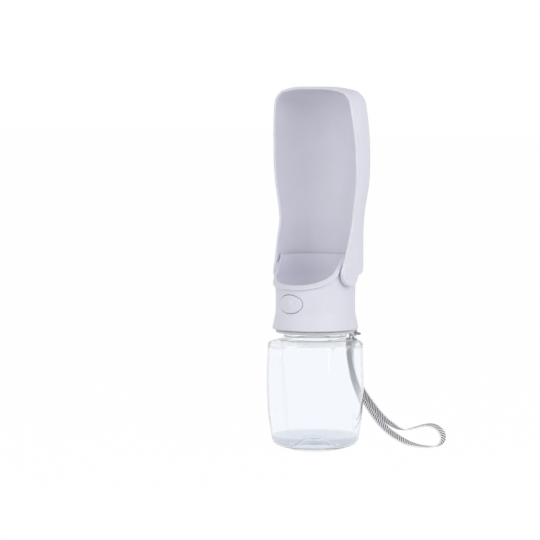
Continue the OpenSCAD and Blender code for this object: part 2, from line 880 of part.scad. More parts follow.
// Half width of the trough seen from the front, where the ears flatten it
function ear_path() = [
    [ear_out, hinge_z - 60, 0],
    [ear_out, hinge_z + 8, 30],
    [ear_out + 3, hinge_z + 26, 0]
];
module both_sides(path) {
    side = concat(rounded(path), [[far, last_y(path)], [far, far], [0, far], [0, path[0].y]]);
    for (s = [0, 1])
        mirror([s, 0, 0]) translate([0, far / 2, 0]) rotate([90, 0, 0]) linear_extrude(height = far)
            polygon(side);
}
function last_y(path) = path[len(path) - 1].y;
module spun(path) {
    rotate_extrude(convexity = 6)
        polygon(concat(rounded(path), [[0, path[0].y]]));
}
// Seen from the side: the rim line in front, the slanted heel below
module trough_side() {
    heel_z = hinge_z - heel_drop;
    rotate([90, 0, 90]) linear_extrude(height = far, center = true) union() {
        translate([0, hinge_z]) circle(r = ear_r);
        polygon(concat(
            rounded([
                [0, heel_z, 0],
                [far / 4, heel_z + far / 4 * tan(heel_slope), 0],
                [far / 4, tip_z + 10, 0],
                [-tip_forward, tip_z + 10, 0],
                [-tip_forward, tip_z - 14, 60],
                [rim_y, tip_z - 42, 60],
                [rim_back, throat_z + 14, 60],
                [rim_back, throat_z - 2, 30],
                [-ear_r, hinge_z + 4, 8],
                [-ear_r, hinge_z, 0]
            ]),
            [[0, hinge_z]]
        ));
    }
}
module trough() {
    groove = asin(peg_r / peg_at) + peg_gap / peg_at * 180 / PI;
    color(head_color) difference() {
        union() {
            difference() {
                intersection() {
                    spun(trough_path());
                    both_sides(ear_path());
                    trough_side();
                }
                intersection() {
                    spun(inset(trough_path(), trough_wall));
                    both_sides(inset(ear_path(), trough_wall + 0.2));
                }
            }
            for (s = [-1, 1])
                along_x(s > 0 ? ear_in : -ear_out) cylinder(h = ear_t, r = ear_r);
        }
        for (s = [-1, 1])
            along_x(s > 0 ? ear_in - 1 : -pin_out - 0.3)
                cylinder(h = pin_out + 1.3 - ear_in, r = pin_r + pin_fit);
        for (s = [-1, 1])
            along_x(s > 0 ? ear_in - 1 : -recess_x - peg_h - 0.3)
                rotate([0, 0, -groove])
                rotate_extrude(angle = 180 + 2 * groove)
                translate([peg_at - peg_r - peg_gap, 0])
                square([2 * (peg_r + peg_gap), recess_x + peg_h + 1.3 - ear_in]);
    }
}

bottle();
strap_ring();
strap_cord();
strap_crimp();
strap_webbing();
neck_seal();
inner_cap();
vent_valve();
inlet_seal();
valve_body();
valve_screws();
gland_retainer();
stem_seal();
end_cap();
end_cap_seal();
outlet_seal();
head_shell();
basin_floor();
basin_gasket();
button_cap();
valve_stem();
poppet_seal();
poppet_clip();
valve_spring();
trough();
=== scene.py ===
"""Looks of a travel water bottle for dogs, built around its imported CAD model."""

import math

import bpy
import numpy as np
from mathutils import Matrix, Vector


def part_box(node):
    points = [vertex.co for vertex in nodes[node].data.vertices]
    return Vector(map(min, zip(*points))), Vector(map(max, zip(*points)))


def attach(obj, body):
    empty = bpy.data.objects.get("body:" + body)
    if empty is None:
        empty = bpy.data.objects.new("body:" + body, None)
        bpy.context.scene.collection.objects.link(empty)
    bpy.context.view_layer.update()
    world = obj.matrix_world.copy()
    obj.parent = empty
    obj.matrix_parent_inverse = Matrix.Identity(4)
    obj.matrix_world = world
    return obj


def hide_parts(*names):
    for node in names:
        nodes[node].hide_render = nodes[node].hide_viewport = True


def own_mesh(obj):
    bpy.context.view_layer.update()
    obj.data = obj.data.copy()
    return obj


MM = 0.001
X, Y, Z = 0, 1, 2

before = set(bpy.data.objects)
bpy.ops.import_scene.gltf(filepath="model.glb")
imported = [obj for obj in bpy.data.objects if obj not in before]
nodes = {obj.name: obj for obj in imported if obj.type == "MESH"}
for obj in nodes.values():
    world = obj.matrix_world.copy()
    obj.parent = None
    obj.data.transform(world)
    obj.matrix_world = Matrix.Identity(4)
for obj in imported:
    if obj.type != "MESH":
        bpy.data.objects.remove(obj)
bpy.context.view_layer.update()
scene = bpy.context.scene
scene.view_settings.view_transform = "Standard"

# Camera, in metres and degrees

AZIMUTH = math.radians(40)
TOWARDS_CAMERA = Vector((math.sin(AZIMUTH), -math.cos(AZIMUTH), 0))
TO_THE_RIGHT = Vector((math.cos(AZIMUTH), math.sin(AZIMUTH), 0))
CAMERA_DISTANCE = 2.3
CAMERA_HEIGHT = 0.301
AIM_RIGHT = -0.0331
AIM_HEIGHT = 0.131
LENS_MM = 211
SENSOR_MM = 36


def add_camera():
    data = bpy.data.cameras.new("camera")
    data.lens = LENS_MM
    data.sensor_width = SENSOR_MM
    data.clip_start = 0.1
    data.clip_end = 20
    camera = bpy.data.objects.new("camera", data)
    scene.collection.objects.link(camera)
    camera.location = TOWARDS_CAMERA * CAMERA_DISTANCE + Vector((0, 0, CAMERA_HEIGHT))
    aim = TO_THE_RIGHT * AIM_RIGHT + Vector((0, 0, AIM_HEIGHT))
    camera.rotation_euler = (aim - camera.location).to_track_quat("-Z", "Y").to_euler()
    scene.camera = camera


add_camera()

# Meshes and curves, in millimetres


def make_object(name, points, faces, body=None):
    """A smooth mesh object from points in millimetres."""
    metres = np.asarray(points, float) * MM
    mesh = bpy.data.meshes.new(name)
    mesh.from_pydata(metres.tolist(), [], [tuple(int(i) for i in f) for f in faces])
    mesh.update()
    mesh.polygons.foreach_set("use_smooth", [True] * len(mesh.polygons))
    made = bpy.data.objects.new(name, mesh)
    scene.collection.objects.link(made)
    if body:
        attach(made, body)
    return made


def grid_faces(rows, columns, flip=False):
    """Quads between rows of points; the columns close into a loop."""
    i = np.arange(rows - 1)[:, None]
    j = np.arange(columns)[None, :]
    a, b = i * columns + j, i * columns + (j + 1) % columns
    quads = np.stack([a, b, b + columns, a + columns], axis=-1).reshape(-1, 4)
    return quads[:, ::-1] if flip else quads


def unit(v):
    """The vectors along the last axis, each made 1 long."""
    v = np.asarray(v, float)
    return v / np.maximum(np.linalg.norm(v, axis=-1, keepdims=True), 1e-12)


def spline(points, per_span):
    """A smooth curve through the points, with any number of values each."""
    p = np.asarray(points, float)
    q = np.vstack([2 * p[0] - p[1], p, 2 * p[-1] - p[-2]])
    out = []
    for i in range(1, len(q) - 2):
        t = np.arange(per_span)[:, None] / per_span
        a, b, c, d = q[i - 1], q[i], q[i + 1], q[i + 2]
        square = 2 * a - 5 * b + 4 * c - d
        cube = 3 * b - a - 3 * c + d
        out.append(0.5 * (2 * b + (c - a) * t + square * t**2 + cube * t**3))
    return np.vstack(out + [p[-1:]])


def spans(curve):
    """The distances between a curve's points."""
    return np.linalg.norm(np.diff(curve[:, :3], axis=0), axis=1)


def evenly(curve, count):
    """The curve's points at equal distances along it."""
    steps = np.concatenate([[0], np.cumsum(spans(curve))])
    at = np.linspace(0, steps[-1], count)
    return np.stack([np.interp(at, steps, curve[:, k]) for k in range(curve.shape[1])], axis=1)


def along(curve):
    """The curve's direction at each of its points."""
    return unit(np.gradient(curve[:, :3], axis=0))


def sweep(name, centres, across, thick, sections, body):
    """A closed tube; each section holds its offsets along across and thick."""
    rings = centres[:, None] + across[:, None] * sections[..., :1] + thick[:, None] * sections[..., 1:]
    count, sides = rings.shape[:2]
    faces = [tuple(f) for f in grid_faces(count, sides, flip=True)]
    faces.append(tuple(range(sides)))
    faces.append(tuple((count - 1) * sides + k for k in range(sides - 1, -1, -1)))
    return make_object(name, rings.reshape(-1, 3), faces, body)


# Strap, along the routes of the CAD source

# The last value of a webbing point turns its width about the route, in degrees from this direction
LEAN_FROM = np.array([0.643, -0.766, 0])
WEBBING_ROUTE = [
    (2.7, 37.2, 71.95, -50), (3, 37.4, 64, -50), (5, 37.8, 56, -50), (9, 37.4, 48, -50),
    (15, 36.6, 40.5, -52), (22, 36.5, 33, -54), (28.5, 37.5, 26, -54), (34, 39.3, 20.7, -50),
    (39.5, 41.3, 17, -40), (44, 43.5, 14.6, -22), (49, 46.3, 13.7, -6), (54.5, 49.7, 15.3, 0),
    (60, 53, 17, 6), (65, 56, 17, 20), (69.3, 58.5, 14.3, 38), (71.3, 60, 10, 48), (70.5, 60.5, 5.4, 36),
    (66.5, 59.8, 1.9, 12), (60, 57, 0.8, 0), (52.5, 53.5, 1.5, -12), (45.8, 50.2, 3.5, -30),
    (39, 47.4, 7, -40), (32.7, 45, 11.4, -46), (27, 43.4, 16.6, -50), (21.8, 42, 22.8, -54),
    (16.5, 41, 30, -62), (11, 40.2, 38, -76), (6.5, 39.8, 47, -96), (3.5, 39.6, 56, -116),
    (2.7, 39.3, 64, -130), (2.7, 39.2, 71.95, -130),
]
CORD_ROUTE = [
    (1.2, 38.2, 79), (1.2, 38.2, 80.9), (2, 37.2, 83.2), (4.8, 34.4, 84.3), (8.3, 31.7, 84),
    (11.15, 30.6, 84), (13.5, 29.85, 84), (15, 31.1, 83.7), (14.6, 33.6, 83.1), (12.3, 36.1, 82.4),
    (8.8, 37.9, 82.1), (5.2, 38.2, 81.2), (4.2, 38.2, 79),
]
CORD_D = 1.2
# Webbing: a quarter of its section, from the edge to the middle of the top
WEBBING_QUARTER = [
    (3.0, 0.0), (2.96, 0.28), (2.78, 0.47), (2.45, 0.5), (2.1, 0.42), (1.4, 0.46), (0.7, 0.46), (0, 0.46),
]
RIB_PITCH = 1.9
RIB_SLANT = 0.7
ROWS_PER_RIB = 6
RIB_SWELL = 0.22
RIB_SINK = 0.12
RIBS_END = 2.5
RIBS_FADE = 0.4
SELVEDGE_START = 2.2
SELVEDGE_FADE = 0.3
# Cord: three strands laid round each other
STRANDS = 3
STRAND_PITCH = 2.4
GROOVE_DEPTH = 0.1
CORD_ROWS = 260
CORD_SIDES = 24


def point_values(piece, name, values):
    """Stores a number at each of the piece's points, for its material to read."""
    piece.data.attributes.new(name, "FLOAT", "POINT").data.foreach_set("value", values.ravel())


def webbing():
    """The ribbed wrist strap, with its ribs counted and its selvedge marked for the painted shade in the
    grooves between the ribs.
    """
    route = spline(WEBBING_ROUTE, per_span=16)
    length = spans(route).sum()
    route = evenly(route, round(length / RIB_PITCH) * ROWS_PER_RIB + 1)
    t = along(route)
    d = unit(LEAN_FROM - t * (t @ LEAN_FROM)[:, None])
    lean = np.radians(route[:, 3:4])
    across = d * np.cos(lean) + np.cross(t, d) * np.sin(lean)
    top = WEBBING_QUARTER + [(-x, y) for x, y in WEBBING_QUARTER[-2::-1]]
    section = np.array(top + [(x, -y) for x, y in top[-2:0:-1]])
    off_middle = np.abs(section[:, 0])
    row = np.arange(len(route)) / ROWS_PER_RIB
    swell = RIB_SWELL * (0.5 + 0.5 * np.cos(2 * math.pi * row)) - RIB_SINK
    ribbed = np.clip((RIBS_END - off_middle) / RIBS_FADE, 0, 1)
    sections = np.repeat(section[None], len(route), axis=0)
    sections[..., 1] *= 1 + swell[:, None] * ribbed
    made = sweep("webbing", route[:, :3], across, np.cross(t, across), sections, "strap")
    point_values(made, "ribs", row[:, None] + RIB_SLANT * section[:, 0] / RIB_PITCH)
    selvedge = np.clip((off_middle - SELVEDGE_START) / SELVEDGE_FADE, 0, 1)
    point_values(made, "selvedge", np.repeat(selvedge[None], len(route), axis=0))
    return made, route[:, :3], length


def thin_cord():
    """The twisted cord through the collar's eyelet."""
    route = spline(CORD_ROUTE, per_span=14)
    length = spans(route).sum()
    route = evenly(route, CORD_ROWS)
    t = along(route)
    a = [unit(np.cross(t[0], [1, 0, 0]))]
    for k in range(1, len(route)):
        a.append(unit(a[-1] - t[k] * (a[-1] @ t[k])))
    a = np.array(a)
    angles = np.linspace(0, 2 * math.pi, CORD_SIDES, endpoint=False)
    twist = 2 * math.pi * np.linspace(0, length / STRAND_PITCH, len(route))
    bulge = np.abs(np.cos(STRANDS / 2 * (angles[None] - twist[:, None])))
    radius = CORD_D / 2 * (1 - GROOVE_DEPTH + GROOVE_DEPTH * bulge)
    sections = np.stack([radius * np.cos(angles), radius * np.sin(angles)], axis=-1)
    return sweep("eyelet_cord", route, a, np.cross(t, a), sections, "strap"), route, length


strap, strap_path, strap_length = webbing()
cord, cord_path, cord_length = thin_cord()

# Outlines, whose points are a place and the radius of the round there

ARC_STEP = math.radians(6)
ARC_LENGTH = 1.2
SHARP_R = 0.01
STRAIGHT = 0.003


def left_of(direction):
    """The direction a quarter turn to the left."""
    return np.array([-direction[1], direction[0]])


def places(path):
    return [np.array(q[:2], float) for q in path]


def corner(a, b, c, r):
    """The points of a round of radius r at b, on the way from a to c."""
    u, v = unit(b - a), unit(c - b)
    turn = math.atan2(u[0] * v[1] - u[1] * v[0], u @ v)
    if r < SHARP_R or abs(turn) < STRAIGHT:
        return [b]
    start = b - u * r * math.tan(abs(turn) / 2)
    centre = start + left_of(u) * r * np.sign(turn)
    count = max(1, math.ceil(abs(turn) / ARC_STEP), math.ceil(abs(turn) * r / ARC_LENGTH))
    d = start - centre
    out = []
    for i in range(count + 1):
        cos, sin = math.cos(turn * i / count), math.sin(turn * i / count)
        out.append(centre + np.array([d[0] * cos - d[1] * sin, d[0] * sin + d[1] * cos]))
    return out


def rounded(path):
    """The points of an open outline with its rounds."""
    p = places(path)
    out = [p[0]]
    for i in range(1, len(p) - 1):
        out += corner(p[i - 1], p[i], p[i + 1], path[i][2])
    return np.array(out + [p[-1]])


def closed(path):
    """The points of a closed outline with its rounds."""
    p = places(path)
    n = len(p)
    return np.array([q for i in range(n) for q in corner(p[i - 1], p[i], p[(i + 1) % n], path[i][2])])


def inset(path, t):
    """The outline moved to its left by t, with its rounds kept concentric."""
    p = places(path)
    left = [left_of(unit(b - a)) for a, b in zip(p, p[1:])]
    out = []
    for i, q in enumerate(p):
        before = left[max(i - 1, 0)]
        after = left[min(i, len(left) - 1)]
        side = -1 if before[0] * after[1] - before[1] * after[0] > 0 else 1
        moved = q + t * (before + after) / (1 + before @ after)
        out.append((moved[0], moved[1], max(0, path[i][2] + side * t)))
    return out


def mirrored(points):
    """A half outline with its mirror image across the axis, as one closed outline."""
    points = np.asarray(points)
    return np.vstack([points, points[::-1] * [-1, 1]])


# Fields: a moulded piece is a distance field with rounded edges, below 0 inside


def outline_field(points, x, y):
    """Signed distance to a closed outline."""
    d = np.full(x.shape, 1e9)
    odd = np.zeros(x.shape, bool)
    for (ax, ay), (bx, by) in zip(points, np.roll(points, -1, axis=0)):
        ex, ey = bx - ax, by - ay
        size = ex * ex + ey * ey
        if size < 1e-12:
            continue
        wx, wy = x - ax, y - ay
        t = np.clip((wx * ex + wy * ey) / size, 0, 1)
        d = np.minimum(d, (wx - ex * t) ** 2 + (wy - ey * t) ** 2)
        if abs(ey) > 1e-12:
            odd ^= ((ay > y) != (by > y)) & (x < ex * (y - ay) / ey + ax)
    return np.where(odd, -1, 1) * np.sqrt(d)


def oval_field(x, z, w, h):
    """About the signed distance to an oval."""
    a, b = w / 2, h / 2
    k1 = np.hypot(x / a, z / b)
    k2 = np.hypot(x / a**2, z / b**2)
    return k1 * (k1 - 1) / np.maximum(k2, 1e-6)


def both(a, b, edge=0.0):
    """Where a and b overlap, with the edge between them rounded by a radius."""
    if edge <= 0:
        return np.maximum(a, b)
    return np.minimum(-edge, np.maximum(a, b)) + np.hypot(np.maximum(edge + a, 0), np.maximum(edge + b, 0))


def either(a, b, fillet=0.0):
    """a and b together, with a fillet of a radius between them."""
    if fillet <= 0:
        return np.minimum(a, b)
    apart = np.hypot(np.maximum(fillet - a, 0), np.maximum(fillet - b, 0))
    return np.maximum(fillet, np.minimum(a, b)) - apart


def rod(u, v, along_it, r, low, high, edge=0.0):
    """A round rod of radius r from low to high."""
    return both(np.hypot(u, v) - r, np.abs(along_it - (low + high) / 2) - (high - low) / 2, edge)


# Meshes from fields: one point in each cell of a grid that the surface crosses

BLOCK = 5
BLOCK_REACH = 1.3
UNKNOWN = 1e3
CELL_CORNERS = [(dx, dy, dz) for dx in (0, 1) for dy in (0, 1) for dz in (0, 1)]
PULLS = 3
PULL_REACH = 0.04
SHADE_REACH = 0.12
LEAST_SLOPE = 0.05


def sample(field, low, high, step):
    """The field on a grid, and where it is known: only the blocks of cells near the surface are."""
    shape = np.ceil((np.array(high) - low) / step).astype(int) + 1
    blocks = -(-shape // BLOCK)
    centres = [low[k] + (np.arange(blocks[k]) * BLOCK + BLOCK / 2) * step for k in range(3)]
    near = np.abs(field(*np.meshgrid(*centres, indexing="ij"))) < BLOCK * step * BLOCK_REACH
    full = near.repeat(BLOCK, 0).repeat(BLOCK, 1).repeat(BLOCK, 2)
    known = np.zeros(blocks * BLOCK + 1, bool)
    for offset in CELL_CORNERS:
        known[tuple(slice(d, d + n) for d, n in zip(offset, full.shape))] |= full
    values = np.full(known.shape, UNKNOWN)
    values[known] = field(*(low + np.argwhere(known) * step).T)
    return values, known


def crossed_cells(values, known):
    """The known cells that the surface crosses, and their numbers on the grid, -1 elsewhere."""
    shape = np.array(values.shape)
    below = np.zeros(shape - 1, int)
    whole = np.ones(shape - 1, bool)
    for offset in CELL_CORNERS:
        at = tuple(slice(d, d + n - 1) for d, n in zip(offset, shape))
        below += values[at] < 0
        whole &= known[at]
    crossed = (below > 0) & (below < 8) & whole
    number = np.full(shape - 1, -1)
    number[crossed] = np.arange(crossed.sum())
    return np.argwhere(crossed), number


def mean_crossings(values, cells):
    """The mean of the places where the surface cuts a cell's edges, counted in cells."""
    total = np.zeros((len(cells), 3))
    hits = np.zeros(len(cells))
    for axis in range(3):
        side, other = [k for k in range(3) if k != axis]
        for u in (0, 1):
            for v in (0, 1):
                a = cells.copy()
                a[:, side] += u
                a[:, other] += v
                b = a.copy()
                b[:, axis] += 1
                start, end = values[tuple(a.T)], values[tuple(b.T)]
                cut = (start < 0) != (end < 0)
                t = np.where(cut, start / np.where(cut, start - end, 1), 0)
                total += np.where(cut[:, None], a + (b - a) * t[:, None], 0)
                hits += cut
    return total / hits[:, None]


def surface_quads(values, number):
    """A quad round each edge of the grid that the surface cuts, between the four cells there."""
    shape = values.shape
    inside = values < 0
    quads = []
    for axis in range(3):
        side, other = [k for k in range(3) if k != axis]
        lower = [slice(1, shape[k] - 1) if k != axis else slice(0, shape[k] - 1) for k in range(3)]
        upper = list(lower)
        upper[axis] = slice(1, shape[axis])
        starts_inside = inside[tuple(lower)]
        at = np.argwhere(starts_inside != inside[tuple(upper)])
        leaves = starts_inside[tuple(at.T)]
        at[:, [side, other]] += 1
        ring = []
        for u, v in ((1, 1), (0, 1), (0, 0), (1, 0)):
            cell = at.copy()
            cell[:, side] -= u
            cell[:, other] -= v
            ring.append(number[tuple(cell.T)])
        ring = np.stack(ring, axis=1)
        whole = (ring >= 0).all(axis=1)
        ring, leaves = ring[whole], leaves[whole]
        # The ring's cells go the other way round on the Y axis
        flip = leaves if axis == Y else ~leaves
        ring[flip] = ring[flip][:, ::-1]
        quads.append(ring)
    return np.vstack(quads)


def slope(field, points, reach):
    """The field's slope at the points, from its values at reach to either side."""
    out = np.empty_like(points)
    for k in range(3):
        e = np.zeros(3)
        e[k] = reach
        out[:, k] = (field(*(points + e).T) - field(*(points - e).T)) / (2 * reach)
    return out


def mesh_from_field(name, field, low, high, step, body):
    """A smooth mesh of the surface where the field is 0, with its points pulled onto it."""
    low = np.array(low, float)
    values, known = sample(field, low, high, step)
    cells, number = crossed_cells(values, known)
    points = low + mean_crossings(values, cells) * step
    for _ in range(PULLS):
        g = slope(field, points, PULL_REACH)
        move = field(*points.T)[:, None] * g / np.maximum((g**2).sum(axis=1, keepdims=True), LEAST_SLOPE)
        points = points - np.clip(move, -step / 2, step / 2)
    made = make_object(name, points, surface_quads(values, number), body)
    normals = unit(slope(field, points, SHADE_REACH))
    made.data.normals_split_custom_set_from_vertices(normals.tolist())
    return made


# Sizes of the CAD model, in millimetres, read from its nodes' boxes where they show there


def lowest(node, axis):
    """Where a CAD node begins along an axis, to the hundredth of a millimetre."""
    return round(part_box(node)[0][axis] / MM, 2)


def highest(node, axis):
    """Where a CAD node ends along an axis, to the hundredth of a millimetre."""
    return round(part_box(node)[1][axis] / MM, 2)


def middle(node, axis):
    return round((lowest(node, axis) + highest(node, axis)) / 2, 2)


def extent(node, axis):
    return round(highest(node, axis) - lowest(node, axis), 2)


# Heights of the head, the basin and the trough
HEAD_Z = lowest("head_shell", Z)
RIM_Z = highest("head_shell", Z)
FLOOR_Z = lowest("basin_floor", Z)
EAR_R = -lowest("trough", Y)
HINGE_Z = round(lowest("trough", Z) + EAR_R, 2)
BUTTON_Z = middle("button_cap", Z)
LIP_Z = BUTTON_Z + 12
TIP_Z = highest("trough", Z)
THROAT_Z = 2 * HINGE_Z - 90.2

# Trough
THROAT_R = 34.9
BELLY_R = 39.75
TROUGH_WALL = 2
SIDE_WALL = 2.2
EAR_IN = 29.9
EAR_OUT = 34
HEEL_DROP = 4.7
HEEL_SLOPE = math.tan(math.radians(17))
PIN_R = 3.4
PIN_FIT = 0.05
PIN_OUT = highest("head_shell", X)
PIN_END_GAP = 0.3
PIN_SUNK = 0.8
PEG_AT = 5.8
PEG_R = 0.8
PEG_H = 1.1
PEG_SUNK = 0.6
PEG_SLOT = 1.1
PEG_SLOT_FRONT = 1.9

# Head and basin
HEAD_BASE_R = 31.4
WAIST_R = 28.9
HEAD_TOP_R = 30
CAVITY_R = WAIST_R - 2
BASIN_R = HEAD_TOP_R - 1.6
BOWL_R = 24.4
RECESS_X = 29.6
RECESS_GAP = 0.4
DISC_Z = 96.92
DISC_TOP = DISC_Z + 2
SCOOP_R = 32
SCOOP_Y = -35
SCOOP_RISE = 32.9
SCOOP_SLOPE = 0.75
LIP_R = 30.8
LIP_W = 0.9
GASKET_T = 0.6
OUTLET_Y = -3
OUTLET_R = 2.3
SLEEVE_WALL = 1.2
SLEEVE_BACK = -22.7
SLEEVE_SUNK = 0.6
GUIDE_BACK = -10

# Button
BUTTON_H = extent("button_cap", Z)
BUTTON_BACK = highest("button_cap", Y)
BUTTON_W = 20.4
BUTTON_GAP = 0.3
BUTTON_PROUD = 0.6
PAD_W = 4.4
PAD_H = 6.2
PAD_PROUD = 0.5
PAD_BACK = -24
FLANGE_W = 1.3
FLANGE_Y = -21.8
FLANGE_HALF = 0.6
FLANGE_REACH = 4.5
POCKET_R = 4.6
POCKET_Y = -25.4
SOCKET_R = 2.05
SOCKET_Y = -26.8

# Strap collar, and the lug on it with its eye
RING_R = highest("strap_ring", X)
RING_TOP = highest("strap_ring", Z)
RING_Z = RING_TOP - 2.1
RING_BORE = 22.45
LUG_ANGLE = math.radians(70)
LUG_OUT = RING_R + 6.2
LUG_EYE = LUG_OUT - 2.5
LUG_EYE_R = 1.5
LUG_EYE_DROP = 1.9
LUG_DROP = 4.9
LUG_HALF = 1.3

# Ferrule: its middle, half its size, and the slot seen on its front and back
FERRULE = [middle("strap_crimp", axis) for axis in (X, Y, Z)]
FERRULE_HALF = [round(extent("strap_crimp", axis) / 2, 2) for axis in (X, Y, Z)]
FERRULE_SLOT_X = 2.4
FERRULE_SLOT_Y = 2.15
FERRULE_SLOT_Z = 1.1

# Trough

TROUGH_OUTLINE = [
    (THROAT_R, HINGE_Z - 60, 0),
    (THROAT_R, THROAT_Z, 130),
    (BELLY_R, THROAT_Z + 28.6, 130),
    (BELLY_R, TIP_Z - 32, 250),
    (BELLY_R - 3.6, TIP_Z - 9, 12),
    (BELLY_R - 8.8, TIP_Z - 3.2, 10),
    (18, TIP_Z, 60),
    (0, TIP_Z, 0),
]
TROUGH_OUTSIDE = mirrored(rounded(TROUGH_OUTLINE))
TROUGH_HOLLOW = mirrored(rounded(inset(TROUGH_OUTLINE, TROUGH_WALL)))
# The flat sides stand upright at the ears and spread above them
TROUGH_SIDE = rounded(
    [(EAR_OUT, HINGE_Z - 80, 0), (EAR_OUT, HINGE_Z + 8, 30), (EAR_OUT + 30, HINGE_Z + 188, 0)]
)
# Seen from the side, what is kept lies behind the open rim and above the sloping heel
TROUGH_REACH = 100
TROUGH_KEPT = rounded(
    [
        (0, HINGE_Z - HEEL_DROP, 0),
        (TROUGH_REACH, HINGE_Z - HEEL_DROP + TROUGH_REACH * HEEL_SLOPE, 0),
        (TROUGH_REACH, TIP_Z + 60, 0),
        (-4, TIP_Z + 60, 0),
        (-4, TIP_Z - 14, 60),
        (-1.5, TIP_Z - 42, 60),
        (0.3, THROAT_Z + 14, 60),
        (0.3, THROAT_Z - 2, 30),
        (-EAR_R, HINGE_Z + 4, 8),
        (-EAR_R, HINGE_Z, 0),
    ]
)
TROUGH_KEPT = np.vstack([TROUGH_KEPT, [(0, HINGE_Z)]])


def trough_wall(x, y, z):
    """The wall of the trough, round at the back and flat at the sides."""
    r = np.hypot(x, y)
    flat = np.abs(x) - np.interp(z, TROUGH_SIDE[:, 1], TROUGH_SIDE[:, 0])
    body = both(outline_field(TROUGH_OUTSIDE, r, z), flat, edge=3)
    hollow = both(outline_field(TROUGH_HOLLOW, r, z), flat + SIDE_WALL, edge=2)
    kept = outline_field(TROUGH_KEPT, y, z)
    kept = either(kept, np.hypot(y, z - HINGE_Z) - EAR_R, fillet=2.5)
    return both(both(body, -hollow), kept, edge=0.95)


def trough_field(x, y, z):
    """The wall and its two ears, with the pins' bores and the pegs' slots."""
    out = np.abs(x)
    ear = rod(y, z - HINGE_Z, out, EAR_R, EAR_IN, EAR_OUT, edge=0.9)
    made = either(trough_wall(x, y, z), ear, fillet=0.6)
    bore = rod(y, z - HINGE_Z, out, PIN_R + PIN_FIT, EAR_IN - 1, PIN_OUT + PIN_END_GAP)
    slot = np.maximum(np.abs(np.hypot(y, z - HINGE_Z) - PEG_AT) - PEG_SLOT, -y - PEG_SLOT_FRONT)
    slot = np.maximum(slot, np.abs(out - EAR_IN) - PEG_SLOT)
    return both(made, -np.minimum(bore, slot))


# Head

HEAD_OUTSIDE = rounded(
    [
        (HEAD_BASE_R - 0.7, HEAD_Z, 0),
        (HEAD_BASE_R, HEAD_Z + 0.8, 0.4),
        (WAIST_R + 0.1, HEAD_Z + 12, 16),
        (WAIST_R - 0.05, HEAD_Z + 23, 80),
        (HEAD_TOP_R, RIM_Z, 0),
    ]
)
# From the skirt round the neck up to the ledge that carries the basin's floor
HEAD_CAVITY = [
    (HEAD_BASE_R - 2.1, HEAD_Z - 1),
    (HEAD_BASE_R - 2.1, HEAD_Z + 2),
    (CAVITY_R, DISC_Z - 3),
    (CAVITY_R, DISC_TOP + 0.05),
    (CAVITY_R - 1.4, DISC_TOP + 0.05),
    (CAVITY_R - 1.4, DISC_TOP + 1),
    (CAVITY_R, DISC_TOP + 2.4),
    (CAVITY_R, FLOOR_Z - 5.5),
    (BOWL_R - 2.6, FLOOR_Z - 1.9),
    (BOWL_R - 2.6, FLOOR_Z - GASKET_T),
    (BOWL_R, FLOOR_Z - GASKET_T),
]
BASIN_SIDE = rounded(
    [
        (BOWL_R, FLOOR_Z, 0),
        (BOWL_R, FLOOR_Z + 1.9, 3),
        (BASIN_R - 0.2, FLOOR_Z + 6.5, 12),
        (BASIN_R, RIM_Z + 10, 0),
    ]
)
HEAD_HOLLOW = np.vstack([HEAD_CAVITY, BASIN_SIDE])
BUTTON_ROOM = 11.9


def head_hollow(x, y, z, r):
    """The cavity and the basin, with room behind the button."""
    hollow = outline_field(mirrored(HEAD_HOLLOW), r, z)
    room = np.maximum(np.maximum(np.abs(x) - BUTTON_ROOM, y), r - CAVITY_R)
    room = np.maximum(room, np.maximum(DISC_TOP + 0.2 - z, z - FLOOR_Z + GASKET_T))
    return np.minimum(hollow, room)


def scoop_field(y, z, r):
    """The round cut that opens the basin to the front; across the lip it slopes down outward."""
    return np.hypot(y - SCOOP_Y, z - LIP_Z - SCOOP_RISE) - SCOOP_R - SCOOP_SLOPE * np.clip(r - BASIN_R, 0, 3)


def head_field(x, y, z):
    """The outer shell with its lip, the sleeve that guides the button, and the hinge's pins and pegs."""
    r = np.hypot(x, y)
    scoop = scoop_field(y, z, r)
    body = outline_field(mirrored(HEAD_OUTSIDE), r, z)
    lip = both(np.maximum(r - LIP_R, z - RIM_Z), scoop - LIP_W, edge=0.3)
    body = either(body, lip, fillet=2.4)
    body = both(body, -head_hollow(x, y, z, r), edge=0.5)
    body = both(body, -scoop, edge=0.4)
    recess = rod(y, z - HINGE_Z, np.abs(x), EAR_R + RECESS_GAP, RECESS_X, RECESS_X + 20)
    body = both(body, -recess, edge=0.12)
    oval = oval_field(x, z - BUTTON_Z, BUTTON_W + 2 * BUTTON_GAP, BUTTON_H + 2 * BUTTON_GAP)
    sleeve = np.maximum(np.maximum(y - SLEEVE_BACK, r - WAIST_R + SLEEVE_SUNK), z - FLOOR_Z + GASKET_T)
    body = either(body, np.maximum(oval - SLEEVE_WALL, sleeve))
    guide = np.maximum(oval, y - GUIDE_BACK)
    body = both(body, -guide, edge=0.35)
    pin = rod(y, z - HINGE_Z, np.abs(x), PIN_R, RECESS_X - PIN_SUNK, PIN_OUT, edge=0.3)
    peg_z = z - HINGE_Z - PEG_AT
    peg = rod(y, peg_z, np.abs(x), PEG_R, RECESS_X - PEG_SUNK, RECESS_X + PEG_H, edge=0.1)
    return np.minimum(body, np.minimum(pin, peg))


# Button, basin floor, strap collar and ferrule


